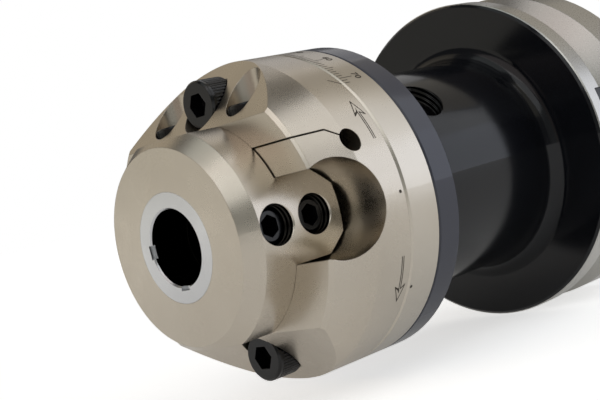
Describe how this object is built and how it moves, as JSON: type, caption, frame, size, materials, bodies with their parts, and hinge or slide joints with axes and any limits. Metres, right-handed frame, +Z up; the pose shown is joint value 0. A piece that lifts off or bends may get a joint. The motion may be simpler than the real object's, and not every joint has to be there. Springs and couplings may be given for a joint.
{
  "type": "boring head",
  "caption": "Fine boring head on a BT50 taper shank: a tool slide set by a graduated dial ring, with a tool bore, side set screws and socket-head clamp screws.",
  "frame": {"origin": "centre of the taper's gauge line, on the tool axis", "axes": "+Y along the tool axis towards the spindle, the nose points to -Y; +X is the way the tool slide moves out and the side its set screws open to; +Z is up, towards the gib's clamp screws"},
  "size_m": [0.1, 0.2593, 0.1],
  "materials": {
    "nickel_plated_steel": "satin nickel plate",
    "black_oxide_steel": "smooth black oxide",
    "hardened_steel": "ground",
    "screw_steel": "black oxide, satin",
    "bronze_pad": "turned",
    "seal_rubber": "matte"
  },
  "bodies": {
    "head": {"taper_shank": "black_oxide_steel", "head_body": "nickel_plated_steel", "body_bolts": "screw_steel", "gib_pads": "bronze_pad", "neck_plug": "screw_steel", "plunger_bodies": "screw_steel", "dowel_pins": "hardened_steel", "ring_seal": "seal_rubber", "friction_washer": "hardened_steel"},
    "dial": {"dial_ring": "nickel_plated_steel"},
    "tool_slide": {"tool_carrier": "nickel_plated_steel", "bore_sleeve": "hardened_steel", "cam_bar": "hardened_steel", "drive_pins": "hardened_steel", "cam_button": "hardened_steel", "plunger_pins": "hardened_steel"},
    "front_tool_screw": {"tool_screw_front": "screw_steel"},
    "rear_tool_screw": {"tool_screw_rear": "screw_steel"},
    "right_clamp_screw": {"clamp_screw_right": "screw_steel"},
    "left_clamp_screw": {"clamp_screw_left": "screw_steel"}
  },
  "joints": [
    {"name": "dial_turn", "type": "hinge", "parent": "head", "child": "dial", "pos_m": [0, -0.1113, 0], "axis": [0, -1, 0], "range_deg": [-103.9, 0.2]},
    {"name": "slide_travel", "type": "slide", "parent": "head", "child": "tool_slide", "axis": [1, 0, 0], "range_m": [-0.00036, 0]},
    {"name": "front_tool_screw_travel", "type": "slide", "parent": "tool_slide", "child": "front_tool_screw", "axis": [1, 0, 0], "range_m": [-0.002, 0.0015]},
    {"name": "rear_tool_screw_travel", "type": "slide", "parent": "tool_slide", "child": "rear_tool_screw", "axis": [1, 0, 0], "range_m": [-0.003, 0.0015]},
    {"name": "right_clamp_screw_travel", "type": "slide", "parent": "head", "child": "right_clamp_screw", "axis": [0, 0, 1], "range_m": [0, 0.0012]},
    {"name": "left_clamp_screw_travel", "type": "slide", "parent": "head", "child": "left_clamp_screw", "axis": [0, 0, 1], "range_m": [0, 0.0012]}
  ],
  "couplings": [
    {"joint": "dial_turn", "follows": "slide_travel", "rad_per_m": 5026.5}
  ]
}
